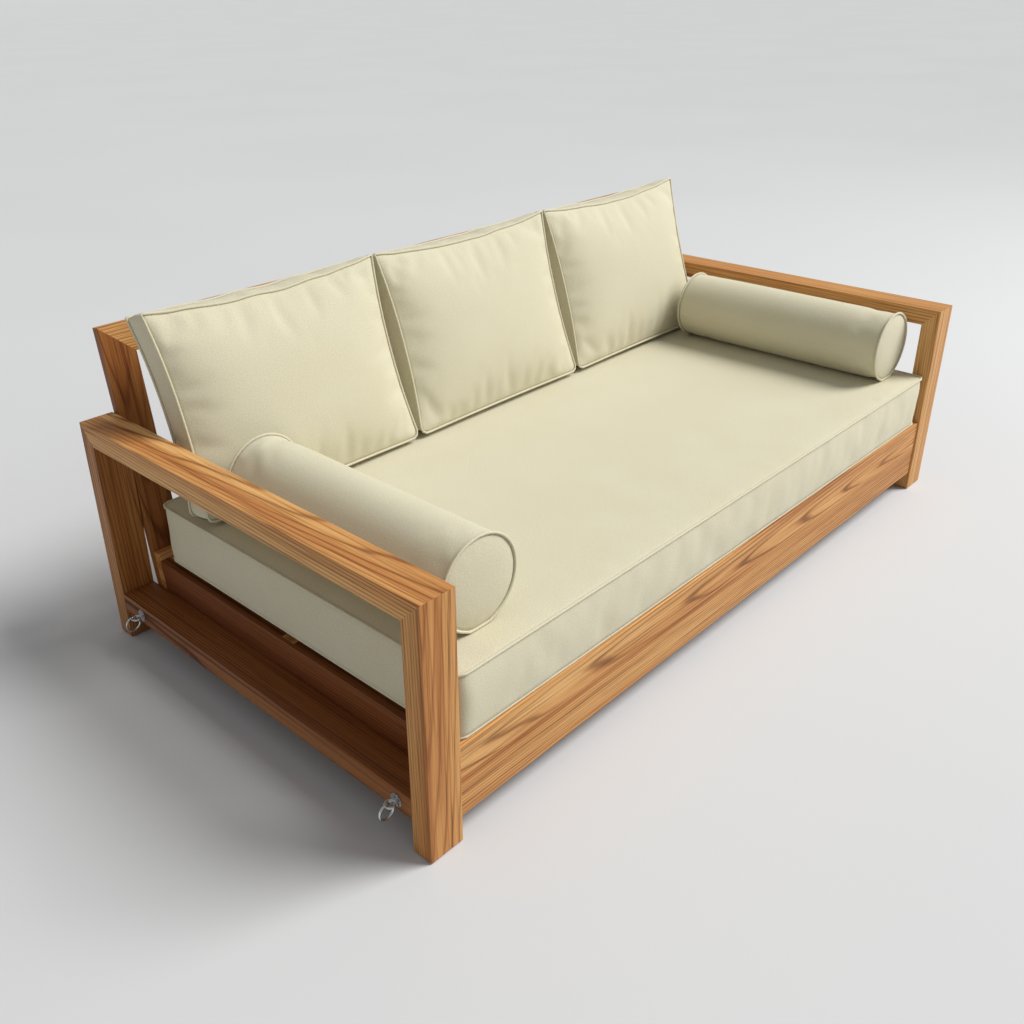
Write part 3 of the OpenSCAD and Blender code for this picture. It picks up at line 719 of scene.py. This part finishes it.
def make_bolster(name, luck):
    low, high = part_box(name)
    radius, length = (high.x - low.x) / 2 - INSET + 1.5 * MM, high.y - low.y - 2 * INSET
    centre = (low + high) / 2
    bm = bmesh.new()
    profile = [(radius * s / DISC_RINGS, -length / 2) for s in range(DISC_RINGS)]
    barrel_rows = round(length / BARREL_ROW)
    profile += [(radius, -length / 2 + length * s / barrel_rows) for s in range(barrel_rows + 1)]
    profile += [(radius * s / DISC_RINGS, length / 2) for s in range(DISC_RINGS - 1, -1, -1)]
    verts = [bm.verts.new((r, y, 0)) for r, y in profile]
    edges = [bm.edges.new(pair) for pair in zip(verts, verts[1:])]
    bmesh.ops.spin(bm, geom=verts + edges, cent=(0, 0, 0), axis=(0, 1, 0), angle=2 * math.pi,
                   steps=SPIN_STEPS, use_merge=True)
    bmesh.ops.remove_doubles(bm, verts=bm.verts, dist=0.1 * MM)
    bmesh.ops.recalc_face_normals(bm, faces=bm.faces)
    bm.normal_update()
    uv = bm.loops.layers.uv.new("cloth")
    for face in bm.faces:
        middle = face.calc_center_median()
        start = math.atan2(middle.z, middle.x)
        for loop in face.loops:
            p = loop.vert.co
            if abs(face.normal.y) > 0.7:
                loop[uv].uv = (p.x, p.z)
            else:
                turn = math.remainder(math.atan2(p.z, p.x) - start, 2 * math.pi)
                loop[uv].uv = ((start + turn) * radius, p.y)
    crease = bm.edges.layers.float.new("crease_edge")
    bm.verts.index_update()
    seams = []
    for sign in (-1, 1):
        seam = [e for e in bm.edges if sorted(round(f.normal.y * sign) for f in e.link_faces) == [0, 1]]
        for edge in seam:
            edge[crease] = 1.0
        seams.append(rim_in_order(seam))
    for vert in bm.verts:
        p = vert.co
        r, a = math.hypot(p.x, p.z), math.atan2(p.z, p.x)
        from_end = length / 2 - abs(p.y)
        if r < radius * 0.99:
            dome = END_DOME * (1 - (r / radius) ** 2.5)
            gather = DISC_GATHER * math.sin(a * 15 + luck) * (r / radius) ** 3
            p.y += math.copysign(dome + gather, p.y)
        elif from_end > ON_EDGE:
            gather = BARREL_GATHER * math.sin(a * 17 + luck + 2 * noise.noise(Vector((a, luck, 0))))
            waist = -RIM_WAIST * math.exp(-from_end / (14 * MM))
            soft = BARREL_WAVER * noise.noise(Vector((a * 1.3, p.y * 5.0, luck)))
            r_new = r + gather * math.exp(-from_end / (26 * MM)) + waist + soft
            p.x, p.z = r_new * math.cos(a), r_new * math.sin(a)
    piece = mesh_object(bm, name + "_cover")
    mesh = piece.data
    went = blow_up(piece, seams[0] + seams[1], pressure=1.5, fullness=0.006, most=5 * MM)
    print(name, "cloth went up to", round(went / MM, 1), "mm before the limit")
    flat = low.z - centre.z
    for vert in mesh.vertices:
        vert.co.z = max(vert.co.z, flat + PIPING_R)
        if vert.co.z < flat + FLATTENED:
            vert.co.z = flat + PIPING_R + (vert.co.z - flat - PIPING_R) * 0.6
    mesh.transform(Matrix.Translation(centre))
    for which, seam in enumerate(seams):
        points = [mesh.vertices[i].co.copy() for i in seam]
        outward = []
        for p in points:
            out = Vector((p.x - centre.x, 0, p.z - centre.z)).normalized()
            out.y = -0.7 if which == 0 else 0.7
            step = out.normalized() * RIM_STAND
            if (p + step).z < low.z + PIPING_R:
                step.z += low.z + PIPING_R - (p + step).z
            outward.append(step)
        add_piping(f"{name}_piping_{'front' if which == 0 else 'rear'}", points, outward, name)
    dress_cover(piece, name)


make_bolster("bolster_left", 0.4)
make_bolster("bolster_right", 2.9)
print("two bolsters")

# %% [markdown]
# ## Floor
# A furniture studio uses a pale seamless floor. This one is a very wide shallow bowl, so that its
# rim stays far away from every side.

# %% Floor
floor_bm = bmesh.new()
ground = [floor_bm.verts.new(p) for p in ((0, 0, 0), (70, 0, 0), (74, 0, 0.6), (77, 0, 2.2),
                                          (78.5, 0, 5), (79, 0, 14))]
ground_edges = [floor_bm.edges.new(pair) for pair in zip(ground, ground[1:])]
bmesh.ops.spin(floor_bm, geom=ground + ground_edges, cent=(0, 0, 0), axis=(0, 0, 1),
               angle=2 * math.pi, steps=96, use_merge=True)
bmesh.ops.remove_doubles(floor_bm, verts=floor_bm.verts, dist=0.001)
bmesh.ops.recalc_face_normals(floor_bm, faces=floor_bm.faces)
floor = mesh_object(floor_bm, "studio_floor")
paper, tree, shader = new_material("paper_seamless_pale")
place = add_node(tree, "ShaderNodeTexCoord").outputs["Object"]
mottle = add_node(tree, "ShaderNodeTexNoise", {}, {"Vector": place, "Scale": 0.6, "Detail": 1.0})
pale = set_stops(add_node(tree, "ShaderNodeValToRGB", {}, {0: mottle.outputs["Fac"]}),
                 [(0.3, "#CECECE"), (0.7, "#D0D0D0")])
tree.links.new(pale, shader.inputs["Base Color"])
shader.inputs["Roughness"].default_value = 0.95
shader.inputs["Specular IOR Level"].default_value = 0.1
give(floor, paper)
print("floor faces:", len(floor.data.polygons))

# %% [markdown]
# ## Light
# A sun lamp with a wide angle stands in for a big soft box: it lights the whole floor evenly and
# its shadow has a broad soft edge. It comes from the front right and above, so tops are brightest,
# fronts are lit and the faces to the left fall into shade. A second, weaker box brightens the
# floor in front of the right arm, and the world gives the fill.

# %% Light
world = bpy.data.worlds.new("studio")
scene.world = world
world.use_nodes = True
world.node_tree.nodes["Background"].inputs[0].default_value = linear("#E6E8EA")
world.node_tree.nodes["Background"].inputs[1].default_value = 0.40
scene.view_settings.view_transform = "Standard"


def aim(obj, place, target):
    obj.location = place
    obj.rotation_euler = (Vector(target) - Vector(place)).to_track_quat("-Z", "Y").to_euler()
    scene.collection.objects.link(obj)


key = bpy.data.lights.new("key_soft_box", "SUN")
key.energy, key.angle = 2.9, math.radians(28)
aim(bpy.data.objects.new("key_soft_box", key), (2.8, -2.2, 4.3), (0, 0, 0))

glow = bpy.data.lights.new("front_soft_box", "AREA")
glow.energy, glow.size = 110, 2.5
aim(bpy.data.objects.new("front_soft_box", glow), (4.4, -3.4, 3.2), (1.6, -1.0, 0.0))
print("lights:", len(bpy.data.lights))

# %% [markdown]
# ## Camera
# The view looks down on the daybed from its front left corner. The lens is shifted a little, so
# that the straight-ahead point isn't the middle of the frame.

# %% Camera
YAW, PITCH, ROLL = -0.79517, -0.47528, -0.02058
forward = Vector((-math.sin(YAW) * math.cos(PITCH), math.cos(YAW) * math.cos(PITCH), math.sin(PITCH)))
level = Vector((math.cos(YAW), math.sin(YAW), 0))
above = level.cross(forward)
right = math.cos(ROLL) * level + math.sin(ROLL) * above
top = -math.sin(ROLL) * level + math.cos(ROLL) * above
lens = bpy.data.cameras.new("view")
lens.sensor_width = 36
lens.lens = 36.35051
lens.shift_x, lens.shift_y = 0.038525, -0.017441
lens.clip_end = 400
camera = new_object(lens)
camera.matrix_world = Matrix.Translation((-2.0346, -1.6391, 1.5108)) \
    @ Matrix((right, top, -forward)).transposed().to_4x4()
scene.camera = camera
print("camera at", tuple(round(c, 2) for c in camera.location))

# %% [markdown]
# ## Size and finish
# The soft goods may stand a little proud of the imported box, and no more.

# %% Sizes
print("scene built")
